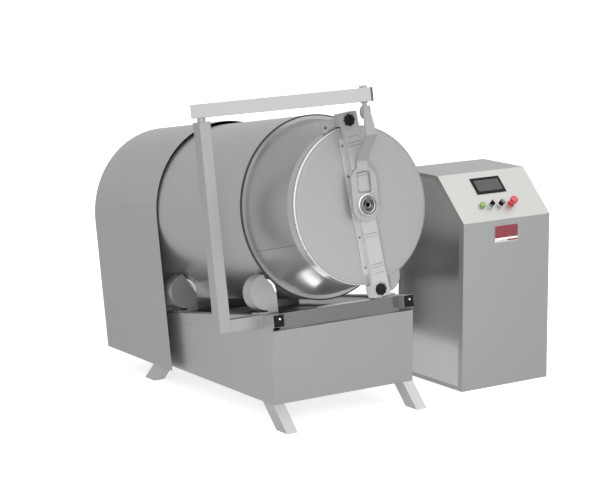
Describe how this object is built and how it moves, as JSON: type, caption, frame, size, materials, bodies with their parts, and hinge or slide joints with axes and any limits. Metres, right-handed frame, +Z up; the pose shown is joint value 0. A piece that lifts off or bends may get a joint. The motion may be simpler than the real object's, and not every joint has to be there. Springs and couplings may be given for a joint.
{
  "type": "meat vacuum tumbler",
  "caption": "Tilted stainless vacuum tumbler drum on a splayed-leg base with rear hood, davit-hung lid and a free-standing control cabinet.",
  "frame": {"origin": "on the floor, in the middle of the footprint of base, davit, drum, hood and cabinet together", "axes": "+X to the operator's right, +Y to the rear of the machine, +Z up; the drum's mouth faces -Y"},
  "size_m": [2.1014, 2.095, 1.7371],
  "materials": {
    "satin_stainless": "satin, brushed",
    "pale_stainless": "fine satin",
    "polished_stainless": "bright, fine brushed",
    "machined_steel": "turned",
    "bearing_iron": "painted casting",
    "motor_paint": "semi-gloss grey",
    "white_nylon": "turned nylon",
    "black_plastic": "moulded",
    "gasket": "food-grade rubber",
    "black_rubber": "smooth",
    "green_plastic": "gloss",
    "red_plastic": "gloss",
    "chrome_ring": "bright",
    "screen": "dark glass in a grey frame"
  },
  "bodies": {
    "base": {"base_front_panel": "satin_stainless", "base_right_panel": "satin_stainless", "base_left_panel": "satin_stainless", "base_rear_panel": "satin_stainless", "base_deck": "satin_stainless", "right_rail": "satin_stainless", "left_rail": "satin_stainless", "rail_end_plugs": "black_plastic", "rail_cross_beams": "polished_stainless", "front_feet": "satin_stainless", "rear_feet": "satin_stainless", "front_roller_guards": "satin_stainless", "rear_roller_guards": "satin_stainless", "roller_axles": "machined_steel", "hood_shell": "satin_stainless", "hood_rear_wall": "satin_stainless", "hood_spacers": "satin_stainless", "rear_support": "satin_stainless", "rear_bearing": "bearing_iron", "gear_reducer": "motor_paint", "drive_motor": "motor_paint", "vacuum_swivel": "machined_steel", "davit_post": "satin_stainless", "davit_beam": "satin_stainless", "davit_pivot_pin": "machined_steel", "cabinet_body": "satin_stainless", "cabinet_side_covers": "satin_stainless", "control_panel": "pale_stainless", "touch_screen": "screen", "switch_collars": "chrome_ring", "vacuum_pump": "motor_paint"},
    "drum": {"drum_shell": "satin_stainless", "drum_edge_band": "black_rubber", "drum_neck": "satin_stainless", "mouth_flange": "satin_stainless", "mouth_gasket": "gasket", "mixing_vanes": "satin_stainless", "drum_trunnion": "machined_steel", "clamp_lugs": "satin_stainless"},
    "front_left_roller": {"front_left_roller": "white_nylon"},
    "front_right_roller": {"front_right_roller": "white_nylon"},
    "rear_left_roller": {"rear_left_roller": "white_nylon"},
    "rear_right_roller": {"rear_right_roller": "white_nylon"},
    "davit_arm": {"davit_arm": "satin_stainless", "arm_end_cap": "black_plastic"},
    "hanger": {"hanger_strap": "satin_stainless", "hanger_hub": "satin_stainless", "hanger_pin": "machined_steel"},
    "lid": {"lid_disc": "polished_stainless", "lid_strongback": "satin_stainless", "lid_clamp_blocks": "satin_stainless", "lid_spindle": "machined_steel", "spindle_nut": "machined_steel"},
    "upper_star_knob": {"upper_star_knob": "black_plastic"},
    "lower_star_knob": {"lower_star_knob": "black_plastic"},
    "start_button": {"start_button": "green_plastic"},
    "selector_knob": {"selector_knob": "black_plastic"},
    "key_switch": {"key_switch": "black_plastic"},
    "estop_button": {"estop_button": "red_plastic"}
  },
  "joints": [
    {"name": "drum_spin", "type": "hinge", "parent": "base", "child": "drum", "pos_m": [-0.33927, -0.09507, 0.98808], "axis": [0, 0.9859, -0.1673], "continuous": true},
    {"name": "davit_swing", "type": "hinge", "parent": "base", "child": "davit_arm", "pos_m": [-0.99477, -0.45785, 1.56997], "axis": [0, 0.1673, 0.9859], "range_deg": [-110, 0]},
    {"name": "hanger_swivel", "type": "hinge", "parent": "davit_arm", "child": "hanger", "pos_m": [-0.34827, -0.96147, 1.60268], "axis": [0, 0.1673, 0.9859], "range_deg": [0, 55]},
    {"name": "lid_spin", "type": "hinge", "parent": "hanger", "child": "lid", "pos_m": [-0.33927, -0.91634, 1.12743], "axis": [0, 0.9859, -0.1673], "continuous": true},
    {"name": "upper_knob_turn", "type": "hinge", "parent": "lid", "child": "upper_star_knob", "pos_m": [-0.39237, -0.87303, 1.556], "axis": [0, -0.9859, 0.1673], "range_deg": [0, 720]},
    {"name": "lower_knob_turn", "type": "hinge", "parent": "lid", "child": "lower_star_knob", "pos_m": [-0.2981, -1.01704, 0.70728], "axis": [0, -0.9859, 0.1673], "range_deg": [0, 720]},
    {"name": "start_push", "type": "slide", "parent": "base", "child": "start_button", "axis": [0, 0.7057, -0.7085], "range_m": [0, 0.004], "stiffness_N_per_m": 400, "springref_m": -0.004},
    {"name": "selector_turn", "type": "hinge", "parent": "base", "child": "selector_knob", "pos_m": [0.69273, -0.67922, 0.98735], "axis": [0, -0.7057, 0.7085], "range_deg": [-45, 45]},
    {"name": "key_turn", "type": "hinge", "parent": "base", "child": "key_switch", "pos_m": [0.75973, -0.67922, 0.98735], "axis": [0, -0.7057, 0.7085], "range_deg": [-90, 0]},
    {"name": "estop_push", "type": "slide", "parent": "base", "child": "estop_button", "axis": [0, 0.7057, -0.7085], "range_m": [0, 0.005], "stiffness_N_per_m": 800, "springref_m": -0.005},
    {"name": "front_left_roller_spin", "type": "hinge", "parent": "base", "child": "front_left_roller", "pos_m": [-0.71727, -0.57754, 0.66727], "axis": [0, 0.9859, -0.1673], "continuous": true},
    {"name": "front_right_roller_spin", "type": "hinge", "parent": "base", "child": "front_right_roller", "pos_m": [0.03873, -0.57754, 0.66727], "axis": [0, 0.9859, -0.1673], "continuous": true},
    {"name": "rear_left_roller_spin", "type": "hinge", "parent": "base", "child": "rear_left_roller", "pos_m": [-0.71727, 0.20922, 0.53378], "axis": [0, 0.9859, -0.1673], "continuous": true},
    {"name": "rear_right_roller_spin", "type": "hinge", "parent": "base", "child": "rear_right_roller", "pos_m": [0.03873, 0.20922, 0.53378], "axis": [0, 0.9859, -0.1673], "continuous": true}
  ],
  "couplings": [
    {"joint": "lid_spin", "follows": "drum_spin", "ratio": 1},
    {"joint": "hanger_swivel", "follows": "davit_swing", "ratio": -0.5},
    {"joint": "front_left_roller_spin", "follows": "drum_spin", "ratio": -6.9549},
    {"joint": "front_right_roller_spin", "follows": "drum_spin", "ratio": -6.9549},
    {"joint": "rear_left_roller_spin", "follows": "drum_spin", "ratio": -6.9549},
    {"joint": "rear_right_roller_spin", "follows": "drum_spin", "ratio": -6.9549}
  ]
}
